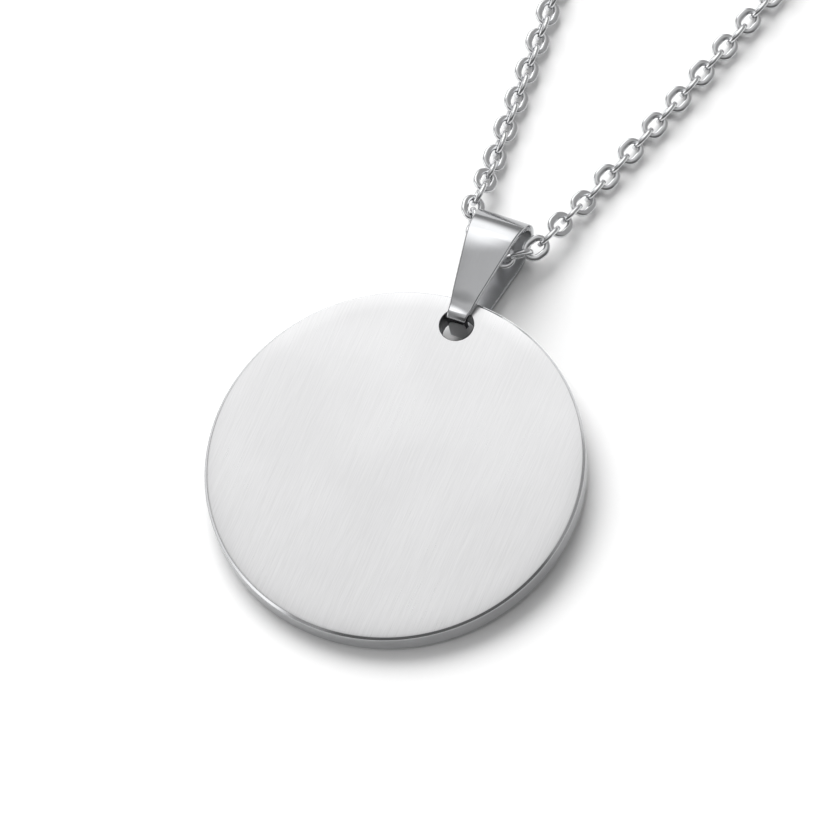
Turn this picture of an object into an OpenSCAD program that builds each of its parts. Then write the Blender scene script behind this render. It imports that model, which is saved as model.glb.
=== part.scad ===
// Round steel disc pendant on a folded bail and a fine cable chain, lying on a flat surface.
// Millimetres. X runs across the disc, Y up along it, Z up from the surface.

/* [Disc] */
// Diameter of the disc
disc_d = 30; // [24:1:40]
// Thickness of the disc
disc_t = 2.1; // [1.8:0.1:2.2]
// Width of the polished bevel round each face
disc_bevel = 0.22; // [0.1:0.02:0.3]
// Diameter of the hole that the bail passes through
hole_d = 2.7; // [2.6:0.1:3]
// Metal between the hole and the edge of the disc
hole_land = 0.95; // [0.8:0.05:1]

/* [Bail] */
// Thickness of the folded strip
strip_t = 0.5; // [0.4:0.05:0.5]
// Width of the strip where it goes through the hole
strip_foot_w = 1.65; // [1.4:0.05:1.8]
// Width of the strip where the top bend starts
strip_shoulder_w = 3.8; // [3.4:0.1:4]
// Width of the strip at the top of the bend
strip_top_w = 4.55; // [4.2:0.05:4.6]
// Outer radius of the top bend
bend_r = 2.7; // [2.6:0.05:2.8]
// From the middle of the hole up to the middle of the top bend
bail_reach = 7.8; // [7.6:0.1:8.4]
// Outer radius of the two small bends at the hole
foot_r = 0.8; // [0.75:0.05:0.85]
// Distance between the middles of the two small bends
foot_gap = 2.5; // [2.4:0.05:2.6]
// Width of the seam where the two ends of the strip meet
seam_w = 0.12; // [0.1:0.02:0.2]

/* [Chain] */
// Length of a link over its wire
link_l = 2.34; // [2.32:0.01:2.36]
// Width of a link over its wire
link_w = 1.98; // [1.9:0.02:2]
// Thickness of the link wire
link_wire = 0.36; // [0.34:0.01:0.36]
// Step from link to link in the right strand, which is nearly drawn out
pitch_right = 1.5; // [1.48:0.01:1.5]
// Step from link to link in the left strand, which lies slack
pitch_left = 1.4; // [1.38:0.01:1.44]
// Links made one by one in each strand
links_made = 118; // [40:1:118]

/* [Clasp] */
// Length of the clasp over its nose and eye
clasp_l = 10; // [9:0.5:11]
// Thickness of the clasp
clasp_t = 1.6; // [1.4:0.1:1.8]
// Wire of the two rings beside the clasp
ring_wire = 0.6; // [0.5:0.05:0.6]
// Outer diameter of the ring in the clasp's eye
clasp_ring_d = 4; // [3.9:0.1:4.2]
// Outer diameter of the ring in the clasp's mouth
end_ring_d = 4.8; // [4.7:0.05:4.9]

/* [Hidden] */
$fn = 48;

steel = [0.78, 0.79, 0.8];
bright_steel = [0.68, 0.69, 0.71];

// The pendant is drawn about the middle of the top bend: Y up the disc, Z out of its face.
// The middle of the bail lies a little behind the middle of the disc.
bail_back = 0.3;
bail_x = -0.15;
hole_y = -bail_reach;
disc_y = hole_y - (disc_d / 2 - hole_land - hole_d / 2);
face_z = disc_t / 2 + bail_back;
back_z = face_z - disc_t;
slack = 0.5;
foot_y = hole_y + hole_d / 2 - slack - strip_t + foot_r;

// It rests on the lower edge of the disc and on the back of the top bend, so it leans a little.
rest_run = disc_d / 2 - disc_bevel - disc_y;
lean = asin(bend_r / norm([rest_run, back_z])) + atan(back_z / rest_run);

// Every second link stands steeply on its edge and carries the next ones, which lie leaning.
lying_roll = 27;
standing_roll = lying_roll - 90;
chain_r = (link_w - link_wire) / 2 * cos(lying_roll) + link_wire / 2;

// Route of each strand from the middle of the bail to its ring at the clasp. X and Y are
// measured from the middle of the top bend, and the third number is the lift off the surface.
route_right = [
    [-0.15, -0.05, 1.5], [0.85, -0.25, 1.15], [1.3, 0.1, 1.15], [2.45, 0.9, 1.15], [3.25, 2.6, 1.1],
    [3.75, 4.45, 0.75], [4.05, 5.7, 0.4], [4.5, 7.25, 0], [7.15, 15.9, 0], [10.65, 27.7, 0], [16.4, 47, 0],
    [25, 76, 0], [33.5, 105, 0], [42, 133.5, 0], [50, 160.5, 0], [54, 174.5, 0], [55.5, 185.5, 0],
    [53.2, 198, 0], [46.5, 209.2, 0], [37, 217.3, 0], [29.5, 220.8, 0], [24.7, 222, 1],
];
route_left = [
    [-0.15, -0.05, 1.5], [-1.35, 0.5, 1.6], [-3.35, 2.9, 1.05], [-3.5, 5.4, 0.9], [-3.55, 6.05, 0.75],
    [-3.75, 7.4, 0.05], [-4.45, 15.2, 0], [-5.25, 23.9, 0], [-7.2, 43, 0], [-10, 72, 0],
    [-12.8, 101, 0], [-15.6, 130, 0], [-18.5, 158, 0], [-20.4, 175, 0], [-20.7, 186, 0],
    [-18.3, 198, 0], [-11.8, 209, 0], [-2, 217.3, 0], [5.8, 220.8, 0], [10.7, 222, 1],
];
clasp_at = [17.4, 222];
nose_r = 2.4;

// Length between two neighbours of a route, and the slope of the curve at a point of it.
function gap(p, i) = norm(p[i + 1] - p[i]);
function way(p, i) = (p[i + 1] - p[i]) / gap(p, i);
function slope(p, i) =
    i == 0 ? way(p, 0) :
    i == len(p) - 1 ? way(p, i - 1) :
    (way(p, i - 1) * gap(p, i) + way(p, i) * gap(p, i - 1)) / (gap(p, i) + gap(p, i - 1));

// Point of the smooth curve at share t of the span after point i.
function between(p, i, t) =
    p[i] * (1 + 2 * t) * pow(1 - t, 2) + p[i + 1] * t * t * (3 - 2 * t)
    + (slope(p, i) * t * pow(1 - t, 2) - slope(p, i + 1) * t * t * (1 - t)) * gap(p, i);

// The curve as many short steps, each with its distance from the start.
steps = 16;
function curve(p) = [
    for (i = [0 : len(p) - 2], k = [0 : steps - 1]) between(p, i, k / steps),
    p[len(p) - 1],
];
function measured(c) = [
    for (i = 0, s = 0; i < len(c); s = s + (i < len(c) - 1 ? norm(c[i + 1] - c[i]) : 0), i = i + 1) [s, c[i]],
];
function axis_table(m, k) = [for (e = m) [e[0], e[1][k]]];
function tables(p) = let (m = measured(curve(p))) [for (k = [0 : 2]) axis_table(m, k)];
function along(t, s) = [lookup(s, t[0]), lookup(s, t[1]), max(0, lookup(s, t[2]))];
function length_of(t) = t[0][len(t[0]) - 1][0];

right = tables(route_right);
left = tables(route_left);

// The base of the whole thing is centred on the origin.
all_x = [for (t = [right, left], e = t[0]) e[1]];
low_y = disc_y - disc_d / 2;
top_y = clasp_at.y + nose_r;
centre = [(min(all_x) + max(all_x)) / 2, (low_y * cos(lean) - (face_z - disc_bevel) * sin(lean) + top_y) / 2];

module laid() {
    translate([-centre.x, -centre.y, 0]) children();
}

module leaned() {
    laid() translate([0, 0, bend_r]) rotate([lean, 0, 0]) children();
}

// Disc with a bevel round each face and one hole.
module disc() {
    r = disc_d / 2;
    color(steel) leaned() translate([0, disc_y, back_z]) difference() {
        rotate_extrude() polygon([
            [0, 0], [r - disc_bevel, 0], [r, disc_bevel], [r, disc_t - disc_bevel],
            [r - disc_bevel, disc_t], [0, disc_t],
        ]);
        translate([0, hole_y - disc_y, -1]) cylinder(d = hole_d, h = disc_t + 2);
    }
}

// The bail's side view, as if seen along X: first axis up the pendant, second out of its face.
// A leg runs from a small bend to the top bend, and opens outwards by leg_turn on its way up.
foot_run = norm([foot_y, foot_gap / 2]);
leg_turn = asin((bend_r - foot_r) / foot_run) - atan(-foot_gap / 2 / foot_y);
wide = 2 * strip_top_w;
shoulder_y = -0.55;
seam_y = 1;

// Closed shape round the three bends, inset from the strip's outer side. The straight sides
// stop a hair inside the round ones, so that the two cross cleanly.
hair = 0.002;
module around(inset) {
    top_r = bend_r - inset;
    low_r = foot_r - inset;
    circle(r = top_r);
    for (s = [-1, 1]) translate([foot_y, s * foot_gap / 2]) circle(r = low_r);
    polygon([
        for (s = [1, -1])
        let (
            out = [-sin(leg_turn), s * cos(leg_turn)],
            foot = [foot_y, s * foot_gap / 2],
            top = (top_r - hair) * out,
            side = foot + (low_r - hair) * out,
            end = foot - [low_r - hair, 0]
        )
        each s > 0 ? [top, side, end] : [end, side, top],
    ]);
}

module strip_loop() {
    translate([-wide / 2, 0, 0]) rotate([90, 0, 90]) linear_extrude(wide) difference() {
        around(0);
        around(strip_t);
    }
}

// The bail's front view: the strip widens from the hole to the top of the bend.
module strip_front() {
    edge = [
        [strip_foot_w / 2, foot_y - foot_r - 1], [strip_foot_w / 2, foot_y - foot_r + strip_t],
        [strip_shoulder_w / 2, shoulder_y], [strip_top_w / 2, bend_r], [strip_top_w / 2, bend_r + 1],
    ];
    polygon(concat(edge, [for (i = [len(edge) - 1 : -1 : 0]) [-edge[i].x, edge[i].y]]));
}

// Bail: one strip, narrow through the hole, whose wide ends meet at a seam in the back leg.
module bail() {
    color(bright_steel) leaned() translate([bail_x, 0, 0]) difference() {
        intersection() {
            strip_loop();
            translate([0, 0, -2 * bend_r]) linear_extrude(4 * bend_r) strip_front();
        }
        translate([-wide / 2, seam_y, -2 * bend_r]) cube([wide, seam_w, 2 * bend_r]);
    }
}

// One link, its long axis along X.
module link() {
    straight = link_l - link_w;
    turn_r = (link_w - link_wire) / 2;
    for (end = [0, 180]) rotate([0, 0, end]) {
        translate([straight / 2, 0, 0]) rotate([0, 0, -90])
            rotate_extrude(angle = 180) translate([turn_r, 0]) circle(d = link_wire);
        translate([-straight / 2, turn_r, 0]) rotate([0, 90, 0]) cylinder(d = link_wire, h = straight);
    }
}

// Puts a link at a distance along a strand, in line with it and rolled about it.
module strung(t, s, roll) {
    at = along(t, s);
    ahead = along(t, s + link_l / 4) - along(t, max(0, s - link_l / 4));
    translate([at.x, at.y, at.z + chain_r])
        rotate([0, -atan2(ahead.z, norm([ahead.x, ahead.y])), atan2(ahead.y, ahead.x)])
            rotate([roll, 0, 0]) link();
}

// Distance of link i from the start of its strand. The first few lie a little closer, slack in the bail.
ease = 0.03;
function place(i, pitch) = (i + 0.5) * pitch - ease * min(i + 0.5, 4);
last = links_made - 1;

// Both strands lean to the same side, so the six joints between them in the bail share a twist.
first_lying_right = 2;
first_lying_left = 3;
twist = 2 * lying_roll / (first_lying_right + first_lying_left + 1);
function rolled(i, first) =
    ((i - first) % 2 == 0 ? lying_roll : standing_roll) - twist * max(0, first - i);

module chain_right() {
    color(steel) laid() for (i = [0 : last])
        strung(right, place(i, pitch_right), rolled(i, first_lying_right));
}

module chain_left() {
    color(steel) laid() for (i = [0 : last])
        strung(left, place(i, pitch_left), rolled(i, first_lying_left));
}

// The rest of a strand as a plain tube of the chain's height, from its last link to its ring.
tube_step = 4.6;
tube_sides = 8;
tube_gap = 0.15;
module rest_of(t, from) {
    run = length_of(t) - from;
    rings = ceil(run / tube_step);
    points = [
        for (i = [0 : rings], k = [0 : tube_sides - 1])
        let (
            s = from + run * i / rings,
            at = along(t, s),
            ahead = along(t, s + 1) - along(t, s - 1),
            side = [ahead.y, -ahead.x, 0] / norm([ahead.x, ahead.y]),
            turn = 360 * k / tube_sides
        )
        [at.x, at.y, at.z + chain_r] + chain_r * (side * cos(turn) + [0, 0, sin(turn)]),
    ];
    faces = [
        for (i = [0 : rings - 1], k = [0 : tube_sides - 1])
        let (a = i * tube_sides, b = a + tube_sides, n = (k + 1) % tube_sides)
        [a + k, b + k, b + n, a + n],
        [for (k = [0 : tube_sides - 1]) k],
        [for (k = [tube_sides - 1 : -1 : 0]) rings * tube_sides + k],
    ];
    polyhedron(points, faces);
}

module chain_back() {
    color(steel) laid() {
        rest_of(right, place(last, pitch_right) + link_l / 2 + tube_gap);
        rest_of(left, place(last, pitch_left) + link_l / 2 + tube_gap);
    }
}

// Clasp and rings. The rings lean against each other on the surface and carry the clasp between them.
end_ring_r = (end_ring_d - ring_wire) / 2;
clasp_ring_r = (clasp_ring_d - ring_wire) / 2;
end_ring_roll = 50;
clasp_z = end_ring_r * sin(end_ring_roll) + ring_wire / 2;
clasp_ring_roll = asin((clasp_z - ring_wire / 2) / clasp_ring_r);
mouth_r = 1.5;
eye_r = 1.6;
eye_hole_r = 1;
eye_t = 0.9;
tail_x = clasp_l / 2;
nose_x = -clasp_l / 2;

// Closed outline of the clasp, nose to the left, with its mouth cut out.
module clasp_body() {
    difference() {
        union() {
            translate([nose_x + nose_r, 0]) circle(r = nose_r);
            polygon([
                [nose_x + nose_r, nose_r - 0.15], [tail_x - 2 * eye_r, 1.15], [tail_x - eye_r - 0.2, 0.9],
                [tail_x - eye_r - 0.2, -0.9], [tail_x - 2 * eye_r, -1.15], [nose_x + nose_r, -nose_r + 0.15],
            ]);
            translate([0.3, 1.7]) circle(r = 0.6);
        }
        translate([nose_x + nose_r + 0.05, 0]) circle(r = mouth_r);
        polygon([
            [nose_x + nose_r + 0.05, mouth_r - 0.2], [1, 0.5], [1, -0.5], [nose_x + nose_r + 0.05, 0.2 - mouth_r],
        ]);
        translate([tail_x - eye_r, 0]) circle(r = eye_hole_r);
    }
}

module clasp() {
    color(bright_steel) laid() translate([clasp_at.x, clasp_at.y, clasp_z]) {
        translate([0, 0, -clasp_t / 2]) linear_extrude(clasp_t) clasp_body();
        translate([tail_x - eye_r, 0, -eye_t / 2]) difference() {
            cylinder(r = eye_r, h = eye_t);
            translate([0, 0, -1]) cylinder(r = eye_hole_r, h = eye_t + 2);
        }
    }
}

module ring(r, at_x, roll) {
    laid() translate([clasp_at.x + at_x, clasp_at.y, clasp_z]) rotate([roll, 0, 0])
        rotate_extrude() translate([r, 0]) circle(d = ring_wire);
}

module clasp_ring() {
    color(steel) ring(clasp_ring_r, tail_x + 0.1, clasp_ring_roll);
}

module end_ring() {
    color(steel) ring(end_ring_r, nose_x + 1, end_ring_roll);
}

disc();
bail();
chain_right();
chain_left();
chain_back();
clasp();
clasp_ring();
end_ring();
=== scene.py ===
"""Round steel disc pendant on its folded bail and cable chain, lying on a pale surface.

Lengths are in millimetres and angles in degrees, but for the places handed to Blender, which are in metres.
"""

import logging
import math
from abc import ABC, abstractmethod
from dataclasses import dataclass, field
from enum import Enum, IntEnum

import bpy
import numpy as np
from mathutils import Matrix, Vector


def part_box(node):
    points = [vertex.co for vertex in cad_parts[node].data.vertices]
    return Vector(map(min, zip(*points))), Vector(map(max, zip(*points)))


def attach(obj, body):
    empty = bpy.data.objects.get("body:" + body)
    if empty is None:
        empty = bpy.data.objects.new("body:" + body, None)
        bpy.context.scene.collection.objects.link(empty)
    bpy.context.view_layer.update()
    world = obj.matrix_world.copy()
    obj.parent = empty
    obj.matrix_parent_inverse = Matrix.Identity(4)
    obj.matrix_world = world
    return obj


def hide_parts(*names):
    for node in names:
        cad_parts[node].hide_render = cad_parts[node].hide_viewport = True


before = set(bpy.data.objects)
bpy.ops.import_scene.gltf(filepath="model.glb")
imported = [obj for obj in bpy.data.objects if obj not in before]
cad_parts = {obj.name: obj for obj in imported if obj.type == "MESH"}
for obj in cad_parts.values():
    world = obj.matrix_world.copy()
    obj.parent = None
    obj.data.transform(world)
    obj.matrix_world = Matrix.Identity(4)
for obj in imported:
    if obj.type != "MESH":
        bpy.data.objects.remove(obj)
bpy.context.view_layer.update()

MM = 0.001
WHITE = (1, 1, 1, 1)
LOG = logging.getLogger("pendant")

Points = np.ndarray
Socket = bpy.types.NodeSocket
Colour = tuple[float, float, float]
Range = tuple[float, float]


class Hand(Enum):
    """The two strands of the chain, as seen from above with the disc at the bottom."""

    RIGHT = "right"
    LEFT = "left"


class Band(IntEnum):
    """The finishes of the disc, in the order of its material slots."""

    FACE = 0
    EDGE = 1
    HOLE = 2


# Finishes


@dataclass(frozen=True)
class Grain:
    """One layer of noise: the size of its lumps in millimetres, and its finer layers."""

    size: tuple[float, float, float]
    detail: float
    rough: float = 0.5


class Graph:
    """Adds and links the nodes of one material, light or world."""

    def __init__(self, tree: bpy.types.NodeTree) -> None:
        """Empties the tree that it fills."""
        self.tree = tree
        tree.nodes.clear()

    def join(self, value: Socket, node: bpy.types.Node, name: str | int) -> None:
        """Links a value to a node's input."""
        self.tree.links.new(value, node.inputs[name])

    def add(self, kind: str, inputs: dict | None = None, **settings: object) -> bpy.types.Node:
        """Adds a node.

        Args:
            kind: Blender's name of the node type.
            inputs: Values or sockets for the node's inputs, by input name or number.
            **settings: Properties of the node itself.

        Returns:
            The new node.
        """
        node = self.tree.nodes.new(kind)
        for name, value in settings.items():
            setattr(node, name, value)
        for name, value in (inputs or {}).items():
            if isinstance(value, Socket):
                self.join(value, node, name)
            else:
                node.inputs[name].default_value = value
        return node

    def math(self, operation: str, *values: Socket | float) -> Socket:
        """Works out a sum or product of sockets and numbers."""
        return self.add("ShaderNodeMath", dict(enumerate(values)), operation=operation).outputs[0]

    def blend(self, first: Socket, second: Socket, share: float) -> Socket:
        """Adds up two values, weighted by the first one's share and by the rest."""
        rest = self.math("MULTIPLY", second, 1 - share)
        return self.math("ADD", self.math("MULTIPLY", first, share), rest)

    def span(self, value: Socket, taken: Range, given: Range) -> Socket:
        """Maps a value smoothly from one range to another.

        Args:
            value: The socket to map.
            taken: Where its range starts and ends.
            given: What the two ends become.

        Returns:
            The socket that holds the result.
        """
        inputs = {0: value, 1: taken[0], 2: taken[1], 3: given[0], 4: given[1]}
        return self.add("ShaderNodeMapRange", inputs, interpolation_type="SMOOTHSTEP").outputs[0]

    def noise(self, grain: Grain) -> Socket:
        """Adds a noise texture that is fixed to the piece.

        Args:
            grain: Its lumps and finer layers.

        Returns:
            The socket with the noise, from 0 to 1.
        """
        place = self.add("ShaderNodeTexCoord").outputs["Object"]
        scale = tuple(1 / (MM * s) for s in grain.size)
        spread = self.add("ShaderNodeMapping", {"Vector": place, "Scale": scale}).outputs[0]
        inputs = {"Vector": spread, "Scale": 1.0, "Detail": grain.detail, "Roughness": grain.rough}
        return self.add("ShaderNodeTexNoise", inputs).outputs[0]


@dataclass(frozen=True)
class Finish(ABC):
    """How a surface looks."""

    colour: Colour
    roughness: float

    def material(self, name: str) -> bpy.types.Material:
        """Makes the material.

        Args:
            name: The material's name.

        Returns:
            The new material.
        """
        made = bpy.data.materials.new(name)
        made.use_nodes = True
        graph = Graph(made.node_tree)
        inputs = {"Base Color": (*self.colour, 1), "Roughness": self.roughness}
        shader = graph.add("ShaderNodeBsdfPrincipled", inputs)
        self.dress(graph, shader)
        graph.add("ShaderNodeOutputMaterial", {"Surface": shader.outputs[0]})
        return made

    @abstractmethod
    def dress(self, graph: Graph, shader: bpy.types.Node) -> None:
        """Adds what is special to this finish."""


@dataclass(frozen=True)
class Steel(Finish):
    """Bare steel, whose tone and gloss follow its scratches."""

    tone_range: Range = (0.35, 0.65)
    gloss_range: Range = (0.3, 0.7)

    def mark(
        self, graph: Graph, shader: bpy.types.Node, marks: Socket, tones: Range, height: Socket, relief: float
    ) -> None:
        """Gives the metal its tones and its relief.

        Args:
            graph: The material's graph.
            shader: Its main shader.
            marks: Noise that the tone follows.
            tones: The darkest and the lightest tone, as shares of the colour.
            height: Noise that the relief follows.
            relief: Depth of the relief in millimetres.
        """
        shader.inputs["Metallic"].default_value = 1.0
        dark, light = ((*(c * tone for c in self.colour), 1) for tone in tones)
        share = graph.span(marks, self.tone_range, (0.0, 1.0))
        tone = graph.add("ShaderNodeMix", {0: share, 6: dark, 7: light}, data_type="RGBA")
        graph.join(tone.outputs[2], shader, "Base Color")
        bump = graph.add("ShaderNodeBump", {"Height": height, "Distance": relief * MM, "Strength": 1.0})
        graph.join(bump.outputs[0], shader, "Normal")


@dataclass(frozen=True)
class BrushedSteel(Steel):
    """Steel brushed along one direction, with long fine scratches and a few deeper ones."""

    anisotropy: float = 0.75
    fine: Grain = Grain((0.045, 2.5, 2.5), 3.0, 0.65)
    deep: Grain = Grain((0.12, 7.0, 7.0), 4.0, 0.7)
    cloud: Grain = Grain((7.0, 7.0, 7.0), 2.0)
    fine_share: float = 0.6
    shade: float = 0.068
    scratch_gloss: float = 0.05
    cloud_gloss: float = 0.02
    relief: float = 0.0018

    def dress(self, graph: Graph, shader: bpy.types.Node) -> None:
        """Adds the scratches to the colour, roughness and relief.

        Args:
            graph: The material's graph.
            shader: Its main shader.
        """
        scratches = graph.blend(graph.noise(self.fine), graph.noise(self.deep), self.fine_share)
        self.mark(graph, shader, scratches, (1 - self.shade, 1 + self.shade), scratches, self.relief)
        swing = graph.span(scratches, self.gloss_range, (-self.scratch_gloss, self.scratch_gloss))
        drift = graph.span(graph.noise(self.cloud), self.gloss_range, (-self.cloud_gloss, self.cloud_gloss))
        rough = graph.math("ADD", graph.math("ADD", swing, drift), self.roughness)
        graph.join(rough, shader, "Roughness")
        shader.inputs["Anisotropic"].default_value = self.anisotropy
        along = graph.add("ShaderNodeCombineXYZ", {0: 0.0, 1: 1.0, 2: 0.0})
        graph.join(along.outputs[0], shader, "Tangent")


@dataclass(frozen=True)
class PolishedSteel(Steel):
    """Polished steel with hairline scratches and faint smears."""

    hair: Grain = Grain((0.04, 0.9, 0.9), 4.0, 0.7)
    smear: Grain = Grain((1.6, 1.6, 1.6), 3.0)
    hair_share: float = 0.5
    shade: float = 0.05
    gloss: float = 0.025
    relief: float = 0.0004

    def dress(self, graph: Graph, shader: bpy.types.Node) -> None:
        """Adds the scratches and smears.

        Args:
            graph: The material's graph.
            shader: Its main shader.
        """
        hair = graph.noise(self.hair)
        marks = graph.blend(hair, graph.noise(self.smear), self.hair_share)
        self.mark(graph, shader, marks, (1 - self.shade, 1.0), hair, self.relief)
        given = (self.roughness - self.gloss, self.roughness + self.gloss)
        graph.join(graph.span(marks, self.gloss_range, given), shader, "Roughness")


@dataclass(frozen=True)
class PaperFloor(Finish):
    """Matt white paper with a faint tooth."""

    tooth: Grain = Grain((0.4, 0.4, 0.4), 3.0)
    tooth_range: Range = (0.2, 0.8)
    shade: float = 0.004
    gloss: float = 0.2

    def dress(self, graph: Graph, shader: bpy.types.Node) -> None:
        """Adds the paper's tooth.

        Args:
            graph: The material's graph.
            shader: Its main shader.
        """
        grey = self.colour[0]
        shade = graph.span(graph.noise(self.tooth), self.tooth_range, (grey - self.shade, grey + self.shade))
        mixed = graph.add("ShaderNodeCombineColor", {0: shade, 1: shade, 2: shade})
        graph.join(mixed.outputs[0], shader, "Base Color")
        shader.inputs["Specular IOR Level"].default_value = self.gloss


DISC_FACE = BrushedSteel((0.583, 0.583, 0.588), 0.33)
DISC_EDGE = PolishedSteel((0.59, 0.595, 0.605), 0.12)
# Dark steel on the hole's wall is painted shade: it stands in for the shade inside the hole.
HOLE_SHADE = PolishedSteel((0.2, 0.202, 0.207), 0.4)
BAIL_STEEL = PolishedSteel((0.46, 0.465, 0.475), 0.1)
# The bail's inner face is lighter than its outer face: painted light on that side of the strip.
BAIL_INSIDE_LIGHT = PolishedSteel((0.62, 0.625, 0.635), 0.3)
LINK_STEEL = PolishedSteel(
    (0.68, 0.685, 0.695), 0.12, hair=Grain((0.05, 0.3, 0.3), 4.0, 0.7), smear=Grain((0.5, 0.5, 0.5), 3.0)
)
CLASP_STEEL = PolishedSteel((0.55, 0.555, 0.565), 0.12)
PAPER = PaperFloor((0.9, 0.9, 0.9), 0.8)


# Meshes


@dataclass(frozen=True)
class Skin:
    """Closed loops of points, in metres, that a mesh is stretched over."""

    rows: Points
    joined: bool
    capped: bool = False


def meshed(name: str, skins: list[Skin], sharp: float) -> bpy.types.Object:
    """Makes one mesh of several skins.

    Args:
        name: The piece's name.
        skins: The skins, each joined end to end, capped or left open.
        sharp: Angle in degrees above which an edge is not smoothed over.

    Returns:
        The new object.
    """
    points: list[Points] = []
    faces: list[tuple[int, ...]] = []
    start = 0
    for skin in skins:
        count, around = skin.rows.shape[:2]
        numbers = start + np.arange(count * around).reshape(count, around)
        ahead = np.roll(numbers, -1, axis=0) if skin.joined else numbers[1:]
        here = numbers if skin.joined else numbers[:-1]
        beside = np.roll(here, -1, axis=1)
        across = np.roll(ahead, -1, axis=1)
        quads = np.stack([here, ahead, across, beside], axis=-1).reshape(-1, 4)
        faces += [tuple(quad) for quad in quads.tolist()]
        if skin.capped:
            faces += [tuple(numbers[0].tolist()), tuple(numbers[-1][::-1].tolist())]
        points.append(skin.rows.reshape(-1, 3))
        start += count * around
    mesh = bpy.data.meshes.new(name)
    mesh.from_pydata(np.concatenate(points).tolist(), [], faces)
    mesh.update()
    mesh.shade_smooth()
    mesh.set_sharp_from_angle(angle=math.radians(sharp))
    made = bpy.data.objects.new(name, mesh)
    bpy.context.scene.collection.objects.link(made)
    return made


def settle(piece: bpy.types.Object, node: str) -> None:
    """Makes a finished piece stand for its node.

    Args:
        piece: The piece.
        node: The node that it replaces.
    """
    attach(piece, "root")
    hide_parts(node)


def path_lengths(points: Points) -> Points:
    """Distance along a path of points, at each of them."""
    return np.concatenate([[0], np.cumsum(np.linalg.norm(np.diff(points, axis=0), axis=1))])


# The pendant


@dataclass
class Lie:
    """Where the pendant lies: its own axes run up the disc and out of its face, from the bail's top bend."""

    bend_r: float = 2.7
    rest_run: float = 35.28
    back_z: float = -0.75
    spot: Vector = field(init=False)
    turn: Matrix = field(init=False)

    def __post_init__(self) -> None:
        """Reads the place from the frame and works out the lean."""
        disc_low, disc_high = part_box("disc")
        _, bail_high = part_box("bail")
        self.spot = Vector(((disc_low.x + disc_high.x) / 2, bail_high.y - self.bend_r * MM, 0))
        rise = math.atan(self.back_z / self.rest_run)
        lean = math.asin(self.bend_r / math.hypot(self.rest_run, self.back_z)) + rise
        self.turn = Matrix.Rotation(lean, 3, "X")
        LOG.info("leans %.2f degrees", math.degrees(lean))

    def place(self, points: Points) -> Points:
        """Points of the pendant's own axes, in millimetres, as places in the frame."""
        turn = np.array(self.turn)
        return (points @ turn.T + np.array([0, 0, self.bend_r])) * MM + np.array(self.spot)

    def flat(self, points: Points) -> Points:
        """Points measured along the surface from the bail's top bend, as places in the frame."""
        return points * MM + np.array(self.spot)


class Part(ABC):
    """A sub-assembly of the pendant."""

    @abstractmethod
    def build(self) -> list[bpy.types.Object]:
        """Makes and dresses its pieces."""


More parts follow.
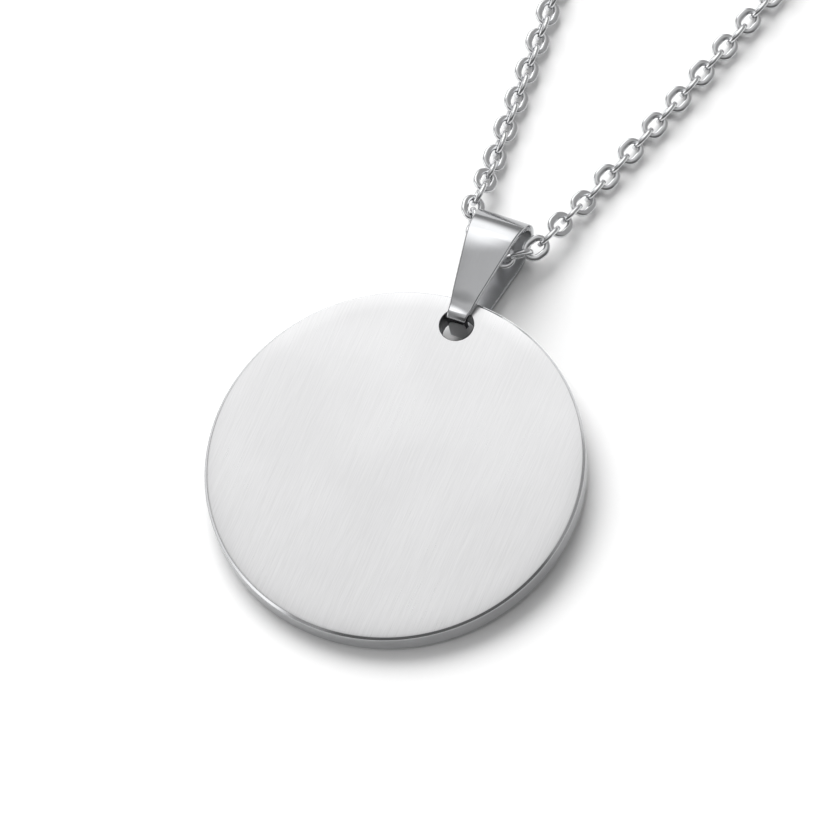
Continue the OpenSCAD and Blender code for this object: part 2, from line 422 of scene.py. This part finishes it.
@dataclass
class Disc(Part):
    """The round pendant: two brushed faces, a bright bevel round each, a plain edge and one hole."""

    lie: Lie
    radius: float = 15.0
    thickness: float = 2.1
    bevel: float = 0.22
    bevel_ease: float = 0.03
    hole_r: float = 1.35
    hole_y: float = -7.8
    hole_bevel: float = 0.06
    hole_reach: float = 0.3
    hole_round: Range = (0.3, 0.2)
    edge_round: Range = (0.4, 0.6)
    centre_y: float = -20.5
    roll_off: float = 1.3
    roll_off_depth: float = 0.045
    around: int = 288
    face_rings: int = 30
    face_crowding: float = 0.8
    last_rings: tuple[float, ...] = (0.982, 0.988, 0.994)
    edge_rings: int = 4

    def face_point(self, across: float = 0.0, up: float = 0.0) -> Vector:
        """Place of a point of the front face, measured from its middle in millimetres."""
        front = self.lie.back_z + self.thickness
        return Vector(self.lie.place(np.array([across, self.centre_y + up, front])))

    def ring(self, share: float, hole_r: float, rim_r: float, z: float) -> Points:
        """One loop between the hole and the rim.

        Args:
            share: How far it is from the hole to the rim.
            hole_r: Radius of the inner loop.
            rim_r: Radius of the outer loop.
            z: Its height.

        Returns:
            The loop, a little lower where the face rolls off towards the rim.
        """
        turn = np.linspace(0, 2 * math.pi, self.around, endpoint=False)
        circle = np.column_stack([np.cos(turn), np.sin(turn)])
        hole_at, rim_at = np.array([0, self.hole_y]), np.array([0, self.centre_y])
        flat = (1 - share) * (hole_at + hole_r * circle) + share * (rim_at + rim_r * circle)
        out = np.linalg.norm(flat - rim_at, axis=1) - (self.radius - self.bevel - self.roll_off)
        drop = self.roll_off_depth * (np.clip(out, 0, self.roll_off) / self.roll_off) ** 2
        middle = self.lie.back_z + self.thickness / 2
        on_face = abs(z - middle) > self.thickness / 2 - self.bevel
        inwards = np.sign(middle - z) * np.minimum(drop, abs(middle - z))
        return np.column_stack([flat, z + inwards * on_face])

    def side(self, z: float, inward: int) -> list[tuple[Points, Band]]:
        """Loops of one side, from inside the hole over the face to the edge.

        Args:
            z: Height of the face.
            inward: 1 where the disc's middle is above the face, -1 where it is below.

        Returns:
            Each loop with its finish.
        """
        hole, rim, ease = self.hole_bevel, self.bevel, self.bevel_ease
        hole_out, flat_r = self.hole_r + hole, self.radius - rim
        (hole_back, hole_down), (edge_down, edge_last) = self.hole_round, self.edge_round
        wall = (
            (self.hole_r, hole + self.hole_reach),
            (self.hole_r, hole),
            (hole_out - hole * hole_back, hole * hole_down),
        )
        edge = (
            (flat_r + ease, ease * edge_down),
            (self.radius - ease, rim - ease),
            (self.radius, rim + ease * edge_last),
        )
        shares = np.append(np.linspace(0, 1, self.face_rings) ** self.face_crowding, self.last_rings)
        return (
            [(self.ring(0, r, flat_r, z + inward * deep), Band.HOLE) for r, deep in wall]
            + [(self.ring(share, hole_out, flat_r, z), Band.FACE) for share in np.sort(shares)]
            + [(self.ring(1, hole_out, r, z + inward * deep), Band.EDGE) for r, deep in edge]
        )

    def rows(self) -> tuple[Points, list[Band]]:
        """Loops from the hole's wall over the front face, round the edge and over the back.

        Returns:
            The loops in the pendant's axes, and the finish of each band between two of them.
        """
        back = self.lie.back_z
        front = back + self.thickness
        inset = self.bevel + self.bevel_ease
        heights = np.linspace(front - inset, back + inset, self.edge_rings + 2)[1:-1]
        middle = [(self.ring(1, self.hole_r, self.radius, z), Band.EDGE) for z in heights]
        loops, bands = zip(*self.side(front, -1), *middle, *self.side(back, 1)[::-1])
        return np.array(loops), [max(pair) for pair in zip(bands, bands[1:] + bands[:1])]

    def build(self) -> list[bpy.types.Object]:
        """Makes and dresses the disc.

        Returns:
            The disc.
        """
        rows, bands = self.rows()
        piece = meshed("round_disc", [Skin(self.lie.place(rows), joined=True)], sharp=25)
        for finish, name in (
            (DISC_FACE, "brushed_face"),
            (DISC_EDGE, "polished_edge"),
            # The hole's wall takes the dark steel, painted shade for the shaded hole.
            (HOLE_SHADE, "hole_painted_shade"),
        ):
            piece.data.materials.append(finish.material(name))
        for number, polygon in enumerate(piece.data.polygons):
            polygon.material_index = bands[number // self.around]
        settle(piece, "disc")
        return [piece]


@dataclass
class Bail(Part):
    """The folded strip: narrow through the hole, wide over the top, its ends meeting in the back leg."""

    lie: Lie
    thickness: float = 0.5
    foot_w: float = 1.65
    shoulder_w: float = 3.8
    top_w: float = 4.55
    shoulder_y: float = -0.55
    foot_r: float = 0.8
    foot_gap: float = 2.5
    foot_y: float = -6.85
    off_middle: float = -0.15
    seam: Range = (1.0, 1.12)
    outer_round: float = 0.14
    inner_round: float = 0.06
    top_dip: Range = (0.24, 1.6)
    foot_dip: Range = (0.18, 0.55)
    worn_ends: float = 0.03
    step: float = 0.1
    least_steps: int = 8
    leg_steps: int = 12
    corner_points: int = 5

    def half_width(self, y: Points) -> Points:
        """Half the strip's width at heights up the pendant."""
        heights = [self.foot_y - self.foot_r + self.thickness, self.shoulder_y, self.lie.bend_r]
        return np.interp(y, heights, [self.foot_w / 2, self.shoulder_w / 2, self.top_w / 2])

    def stations(self) -> tuple[Points, Points]:
        """The strip's outer side, from the seam over the top, down to the foot and back to the seam.

        Returns:
            Points and outward directions, both up the pendant and out of its face.
        """
        top_r, foot_r = self.lie.bend_r, self.foot_r
        run = math.hypot(self.foot_y, self.foot_gap / 2)
        opening = math.asin((top_r - foot_r) / run) - math.atan(-self.foot_gap / 2 / self.foot_y)
        leg = math.pi / 2 + opening
        middle_r = top_r - self.thickness / 2
        seam_low, seam_high = (math.acos(y / middle_r) for y in self.seam)
        top = np.zeros(2)
        front = np.array([self.foot_y, self.foot_gap / 2])
        back = np.array([self.foot_y, -self.foot_gap / 2])
        points: list[Points] = []
        outs: list[Points] = []
        starts: list[int] = []
        ends: list[int] = []
        for centre, radius, start, end in (
            (top, top_r, -seam_high, leg),
            (front, foot_r, leg, math.pi),
            (back, foot_r, math.pi, 2 * math.pi - leg),
            (top, top_r, 2 * math.pi - leg, 2 * math.pi - seam_low),
        ):
            steps = max(self.least_steps, math.ceil(abs(end - start) * radius / self.step))
            bend = [np.array([math.cos(turn), math.sin(turn)]) for turn in np.linspace(start, end, steps + 1)]
            if points:
                last, first = points[-1], centre + radius * bend[0]
                points += [last + (first - last) * k / self.leg_steps for k in range(1, self.leg_steps)]
                outs += [bend[0]] * (self.leg_steps - 1)
            starts.append(len(points))
            points += [centre + radius * out for out in bend]
            outs += bend
            ends.append(len(points) - 1)
        return self.dipped(np.array(points), np.array(outs), ends[0], starts[1])

    def dipped(self, points: Points, outs: Points, top: int, foot: int) -> tuple[Points, Points]:
        """Flattens the end of the top bend and dips the front leg where it meets the disc.

        Args:
            points: Points along the strip's outer side.
            outs: Outward directions at the points.
            top: Number of the point where the top bend ends.
            foot: Number of the point where the small bend starts.

        Returns:
            The points, moved a little inwards round the two places, and their new directions.
        """
        lengths = path_lengths(points)
        ahead = np.column_stack([-outs[:, 1], outs[:, 0]])
        depth = np.zeros(len(points))
        slope = np.zeros(len(points))
        for at, (deep, run) in ((top, self.top_dip), (foot, self.foot_dip)):
            apart = (lengths - lengths[at] + run) * math.pi / (2 * run)
            near = np.abs(apart) < math.pi
            depth += np.where(near, deep / 2 * (1 + np.cos(apart)), 0)
            slope += np.where(near, -deep / 2 * np.sin(apart) * math.pi / (2 * run), 0)
        outs = outs + slope[:, None] * ahead
        outs /= np.linalg.norm(outs, axis=1)[:, None]
        return points - depth[:, None] * outs, outs

    def corner(self, radius: float, depth: float, outward: int, side: int, rising: bool) -> list[list[float]]:
        """One rounded corner of the strip's section.

        Args:
            radius: Its radius.
            depth: Depth of the face that it belongs to.
            outward: 1 where the face is the inner one, -1 where it is the outer one.
            side: 1 for the right edge, -1 for the left.
            rising: Whether it runs from the face to the edge.

        Returns:
            Its points, as the section gives them.
        """
        turns = np.linspace(0, math.pi / 2, self.corner_points)
        points = [
            [side, radius * (1 - math.sin(turn)), depth - outward * radius * (1 - math.cos(turn))]
            for turn in turns
        ]
        return points if rising else points[::-1]

    def section(self) -> Points:
        """Outline of the strip's section.

        Returns:
            For each point: -1 or 1 for its side, how far it stands in from that side, and its depth.
        """
        return np.array(
            self.corner(self.outer_round, 0, -1, 1, True)
            + self.corner(self.inner_round, self.thickness, 1, 1, False)
            + self.corner(self.inner_round, self.thickness, 1, -1, True)
            + self.corner(self.outer_round, 0, -1, -1, False)
        )

    def build(self) -> list[bpy.types.Object]:
        """Makes and dresses the bail.

        Returns:
            The bail.
        """
        side, reach, deep = self.section().T
        points, outs = self.stations()
        last = len(points) - 1
        rows = []
        for number, (point, out) in enumerate(zip(points, outs)):
            worn = self.worn_ends if number in (0, last) else 0.0
            depth = np.clip(deep, worn, self.thickness - worn)
            skin = point - depth[:, None] * out
            width = self.half_width(skin[:, 0]) - reach - worn
            rows.append(np.column_stack([self.off_middle + side * width, skin]))
        skins = [Skin(self.lie.place(np.array(rows)), joined=False, capped=True)]
        piece = meshed("folded_bail", skins, sharp=40)
        piece.data.materials.append(BAIL_STEEL.material("polished_strip"))
        piece.data.materials.append(BAIL_INSIDE_LIGHT.material("inside_painted_light"))
        # The inner face takes the lighter steel, painted light on that side of the strip.
        inner_face = len(side) // 2 - 1
        for polygon in piece.data.polygons[: len(side) * last]:
            polygon.material_index = int(polygon.index % len(side) == inner_face)
        settle(piece, "bail")
        return [piece]


@dataclass
class Wire:
    """An oval link's size and the flattened section of its wire."""

    length: float = 2.34
    width: float = 1.98
    end: float = 0.44
    side: float = 0.6
    thick: float = 0.4
    flatness: float = 3.2
    sides: int = 12
    per_bend: int = 16

    def loops(self) -> Points:
        """The link about its own middle, long axis along X and lying in the X-Y plane.

        Returns:
            Loops of the wire's section round the link.
        """
        half = (self.length - self.width) / 2
        turns = np.linspace(-math.pi / 2, math.pi / 2, self.per_bend)
        path = [(half, t) for t in turns] + [(-half, t + math.pi) for t in turns]
        angles = np.linspace(0, 2 * math.pi, self.sides, endpoint=False)
        power = 2 / self.flatness
        across = np.sign(np.cos(angles)) * np.abs(np.cos(angles)) ** power / 2
        up = self.thick / 2 * np.sign(np.sin(angles)) * np.abs(np.sin(angles)) ** power
        loops = []
        for x, turn in path:
            wide = self.end + (self.side - self.end) * math.sin(turn) ** 2
            reach = (self.width - wide) / 2 + wide * across
            loops.append(np.column_stack([x + reach * math.cos(turn), reach * math.sin(turn), up]))
        return np.array(loops)


@dataclass
class Strand:
    """One strand of the chain, from the middle of the bail to its ring at the clasp."""

    lie: Lie
    hand: Hand
    route: list[tuple[float, float, float]]
    pitch: float
    first_lying: int
    ring_reach: float
    wire: Wire = field(default_factory=Wire)
    lying_roll: float = 27.0
    twist: float = 9.0
    ease: float = 0.03
    eased_links: int = 4
    made: int = 118
    height: float = 0.95
    steps: int = 16

    def curve(self) -> Points:
        """The route as many short steps.

        Returns:
            Points along the curve, in millimetres.
        """
        p = np.array(self.route)
        gaps = np.linalg.norm(np.diff(p, axis=0), axis=1)
        ways = np.diff(p, axis=0) / gaps[:, None]
        slopes = [ways[0]]
        for i in range(1, len(p) - 1):
            slopes.append((ways[i - 1] * gaps[i] + ways[i] * gaps[i - 1]) / (gaps[i] + gaps[i - 1]))
        slopes.append(ways[-1])
        found = []
        for i, gap in enumerate(gaps):
            for t in np.arange(self.steps) / self.steps:
                at = p[i] * (1 + 2 * t) * (1 - t) ** 2 + p[i + 1] * t * t * (3 - 2 * t)
                found.append(at + (slopes[i] * t * (1 - t) ** 2 - slopes[i + 1] * t * t * (1 - t)) * gap)
        return np.array(found + [p[-1]])

    def roll_of(self, number: int) -> float:
        """How far a link is rolled about the strand.

        Args:
            number: The link's number, from 0 in the bail.

        Returns:
            The roll in degrees.
        """
        lying = (number - self.first_lying) % 2 == 0
        roll = self.lying_roll if lying else self.lying_roll - 90
        return roll - self.twist * max(0, self.first_lying - number)

    def links(self, first: int, last: int, pitch: float) -> list[Skin]:
        """Links in their places.

        Args:
            first: Number of the first link.
            last: Number of the link after the last.
            pitch: Distance from link to link beyond the links that the solids show.

        Returns:
            One skin for each link.
        """
        curve = self.curve()
        lengths = path_lengths(curve)

        def along(distance: float) -> Points:
            """The strand's place at a distance along it, not lower than the surface."""
            at = [np.interp(distance, lengths, axis) for axis in curve.T]
            return np.array([at[0], at[1], max(0.0, at[2])])

        loops = self.wire.loops()
        quarter = self.wire.length / 4
        skins = []
        for number in range(first, last):
            near = min(number, self.made - 1)
            distance = (near + 0.5) * self.pitch - self.ease * min(near + 0.5, self.eased_links)
            distance += (number - near) * pitch
            way = along(distance + quarter) - along(max(0.0, distance - quarter))
            way /= np.linalg.norm(way)
            side = np.cross([0, 0, 1], way)
            side /= np.linalg.norm(side)
            up = np.cross(way, side)
            roll = math.radians(self.roll_of(number))
            across = side * math.cos(roll) + up * math.sin(roll)
            over = -side * math.sin(roll) + up * math.cos(roll)
            middle = along(distance) + np.array([0, 0, self.height])
            skins.append(Skin(self.lie.flat(loops @ np.array([way, across, over]) + middle), joined=True))
        return skins

    def far_links(self) -> tuple[int, float]:
        """How many links there are beyond the single solids, and their pitch.

        Returns:
            The number after the last link, and the pitch that makes the last one meet its ring.
        """
        near = (self.made - 0.5) * self.pitch - self.ease * self.eased_links
        run = path_lengths(self.curve())[-1] + self.ring_reach - near
        count = 2 * round(run / self.pitch / 2)
        return self.made + count, run / count


ROUTES = {
    Hand.RIGHT: [
        (-0.15, -0.05, 1.5), (0.85, -0.25, 1.15), (1.3, 0.1, 1.15), (2.45, 0.9, 1.15), (3.25, 2.6, 1.1),
        (3.75, 4.45, 0.75), (4.05, 5.7, 0.4), (4.5, 7.25, 0), (7.15, 15.9, 0), (10.65, 27.7, 0),
        (16.4, 47, 0), (25, 76, 0), (33.5, 105, 0), (42, 133.5, 0), (50, 160.5, 0), (54, 174.5, 0),
        (55.5, 185.5, 0), (53.2, 198, 0), (46.5, 209.2, 0), (37, 217.3, 0), (29.5, 220.8, 0),
        (24.7, 222, 1),
    ],
    Hand.LEFT: [
        (-0.15, -0.05, 1.5), (-1.35, 0.5, 1.6), (-3.35, 2.9, 1.05), (-3.5, 5.4, 0.9), (-3.55, 6.05, 0.75),
        (-3.75, 7.4, 0.05), (-4.45, 15.2, 0), (-5.25, 23.9, 0), (-7.2, 43, 0), (-10, 72, 0),
        (-12.8, 101, 0), (-15.6, 130, 0), (-18.5, 158, 0), (-20.4, 175, 0), (-20.7, 186, 0),
        (-18.3, 198, 0), (-11.8, 209, 0), (-2, 217.3, 0), (5.8, 220.8, 0), (10.7, 222, 1),
    ],
}


@dataclass
class Chain(Part):
    """Both strands of the chain, linked inside the bail and ending in a ring each."""

    lie: Lie
    sharp: float = 50.0

    def build(self) -> list[bpy.types.Object]:
        """Makes and dresses the links.

        Returns:
            The near links of each strand, and the far links of both.
        """
        right, left = Hand.RIGHT, Hand.LEFT
        finish = LINK_STEEL.material("polished_wire")
        pieces = []
        far: list[Skin] = []
        for strand in (
            Strand(self.lie, right, ROUTES[right], pitch=1.5, first_lying=2, ring_reach=-0.25),
            Strand(self.lie, left, ROUTES[left], pitch=1.4, first_lying=3, ring_reach=0.05),
        ):
            hand = strand.hand.value
            near = meshed(f"links_{hand}", strand.links(0, strand.made, strand.pitch), self.sharp)
            settle(near, f"chain_{hand}")
            last, pitch = strand.far_links()
            far += strand.links(strand.made, last, pitch)
            pieces.append(near)
            LOG.info("%s strand: %d links, far pitch %.3f mm", hand, last, pitch)
        rest = meshed("links_back", far, self.sharp)
        settle(rest, "chain_back")
        pieces.append(rest)
        for piece in pieces:
            piece.data.materials.append(finish)
        return pieces


@dataclass
class ClaspEnd(Part):
    """The clasp and its two rings, which keep the shapes of the solids."""

    nodes: tuple[str, ...] = ("clasp", "clasp_ring", "end_ring")
    weld: float = 0.001
    bevel: float = 0.06
    bevel_steps: int = 2
    bevel_angle: float = 40.0

    def soften(self, clasp: bpy.types.Object) -> None:
        """Breaks the clasp's sharp edges.

        Args:
            clasp: The clasp.
        """
        weld = clasp.modifiers.new("welded", "WELD")
        weld.merge_threshold = self.weld * MM
        soft = clasp.modifiers.new("softened", "BEVEL")
        soft.width = self.bevel * MM
        soft.segments = self.bevel_steps
        soft.use_clamp_overlap = False
        soft.limit_method = "ANGLE"
        soft.angle_limit = math.radians(self.bevel_angle)

    def build(self) -> list[bpy.types.Object]:
        """Dresses the clasp and its rings.

        Returns:
            The three pieces.
        """
        finish = CLASP_STEEL.material("polished_clasp")
        pieces = [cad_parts[node] for node in self.nodes]
        for piece in pieces:
            piece.data.materials.clear()
            piece.data.materials.append(finish)
        self.soften(pieces[0])
        return pieces


# The studio


def direction(azimuth: float, elevation: float) -> Vector:
    """Vector of length one, from degrees round from the front and degrees up."""
    a, e = math.radians(azimuth), math.radians(elevation)
    return Vector((math.sin(a) * math.cos(e), -math.cos(a) * math.cos(e), math.sin(e)))


@dataclass(frozen=True)
class Glow:
    """A soft bright or dark patch of the studio's walls, seen in the metal."""

    azimuth: float
    elevation: float
    spread: float
    blur: float
    level: float


@dataclass
class Studio:
    """Floor, light and camera."""

    disc: Disc
    base: float = 0.42
    glows: tuple[Glow, ...] = (
        Glow(0, 90, 5, 40, 0.46),
        Glow(40, 22, 45, 12, -0.27),
        Glow(-55, 14, 18, 10, 1.25),
        Glow(-48, 68, 3, 14, -0.25),
        Glow(-148, 58, 2, 12, 0.4),
    )
    key_level: float = 3.2
    key_azimuth: float = -138.0
    key_elevation: float = 46.0
    key_size: float = 52.0
    box_level: float = 1.7
    box_azimuth: float = -150.0
    box_elevation: float = 40.0
    box_distance: float = 280.0
    box_size: float = 363.0
    box_soft: float = 0.644
    azimuth: float = 33.963
    elevation: float = 61.3
    roll: float = -12.267
    aim: tuple[float, float] = (0.367, 4.163)
    distance: float = 601.36
    lens: float = 330.19
    clip: Range = (0.05, 100.0)
    floor_half: float = 30.0

    def put(self, name: str, data: bpy.types.ID, matrix: Matrix | None = None) -> bpy.types.Object:
        """Puts a light, camera or mesh in the scene.

        Args:
            name: Its name.
            data: The light, camera or mesh.
            matrix: Where it stands and how it is turned.

        Returns:
            The new object.
        """
        piece = bpy.data.objects.new(name, data)
        if matrix is not None:
            piece.matrix_world = matrix
        bpy.context.scene.collection.objects.link(piece)
        return piece

    def walls(self) -> None:
        """Paints the light that comes from all round."""
        world = bpy.data.worlds.new("studio")
        bpy.context.scene.world = world
        world.use_nodes = True
        graph = Graph(world.node_tree)
        way = graph.add("ShaderNodeTexCoord").outputs["Generated"]
        total: Socket | float = self.base
        for glow in self.glows:
            towards = direction(glow.azimuth, glow.elevation)
            dot = graph.add("ShaderNodeVectorMath", {0: way, 1: towards}, operation="DOT_PRODUCT")
            outer = math.cos(math.radians(glow.spread + glow.blur))
            inner = math.cos(math.radians(glow.spread))
            share = graph.span(dot.outputs["Value"], (outer, inner), (0.0, glow.level))
            total = graph.math("ADD", total, share)
        back = graph.add("ShaderNodeBackground", {"Color": WHITE, "Strength": total})
        graph.add("ShaderNodeOutputWorld", {"Surface": back.outputs[0]})

    def key(self) -> None:
        """Hangs the light that throws the shadows, up to the left behind the disc."""
        lamp = bpy.data.lights.new("key", "SUN")
        lamp.energy = self.key_level
        lamp.angle = math.radians(self.key_size)
        towards = direction(self.key_azimuth, self.key_elevation)
        piece = self.put("key", lamp, towards.to_track_quat("Z", "Y").to_matrix().to_4x4())
        piece.visible_glossy = False

    def softbox(self) -> None:
        """Hangs the softbox with fading edges that the metal mirrors."""
        lamp = bpy.data.lights.new("softbox", "AREA")
        lamp.shape = "SQUARE"
        lamp.size = self.box_size * MM
        lamp.energy = self.box_level * math.pi * lamp.size**2
        lamp.use_nodes = True
        graph = Graph(lamp.node_tree)
        spot = graph.add("ShaderNodeNewGeometry").outputs["Parametric"]
        half = 0.5
        apart = graph.add("ShaderNodeVectorMath", {0: spot, 1: (half, half, 0.0)}, operation="DISTANCE")
        fade = graph.span(apart.outputs["Value"], (half - self.box_soft / 2, half), (1.0, 0.0))
        glow = graph.add("ShaderNodeEmission", {"Color": WHITE, "Strength": fade})
        graph.add("ShaderNodeOutputLight", {"Surface": glow.outputs[0]})
        towards = direction(self.box_azimuth, self.box_elevation)
        place = Matrix.Translation(self.disc.face_point() + towards * self.box_distance * MM)
        piece = self.put("softbox", lamp, place @ towards.to_track_quat("Z", "Y").to_matrix().to_4x4())
        piece.visible_diffuse = False

    def floor(self) -> None:
        """Lays the surface."""
        half = self.floor_half
        corners = [(-half, -half, 0), (half, -half, 0), (half, half, 0), (-half, half, 0)]
        mesh = bpy.data.meshes.new("floor")
        mesh.from_pydata(corners, [], [(0, 1, 2, 3)])
        mesh.materials.append(PAPER.material("paper"))
        self.put("floor", mesh)

    def camera(self) -> None:
        """Points the camera at the disc's face."""
        back = direction(self.azimuth, self.elevation)
        level = Vector((math.cos(math.radians(self.azimuth)), math.sin(math.radians(self.azimuth)), 0))
        up = back.cross(level)
        roll = math.radians(self.roll)
        right = level * math.cos(roll) + up * math.sin(roll)
        turn = Matrix((right, back.cross(right), back)).transposed()
        lens = bpy.data.cameras.new("camera")
        lens.lens = self.lens
        lens.clip_start, lens.clip_end = self.clip
        place = Matrix.Translation(self.disc.face_point(*self.aim) + back * self.distance * MM)
        bpy.context.scene.camera = self.put("camera", lens, place @ turn.to_4x4())

    def build(self) -> None:
        """Sets up the whole studio."""
        self.walls()
        self.key()
        self.softbox()
        self.floor()
        self.camera()
        bpy.context.scene.view_settings.view_transform = "Standard"


def main() -> None:
    """Builds the pendant piece by piece, then the studio."""
    logging.basicConfig(level=logging.INFO, format="%(message)s")
    lie = Lie()
    disc = Disc(lie)
    for part in (disc, Bail(lie), Chain(lie), ClaspEnd()):
        for piece in part.build():
            LOG.info("%s: %d faces", piece.name, len(piece.data.polygons))
    Studio(disc).build()


if __name__ == "__main__":
    main()
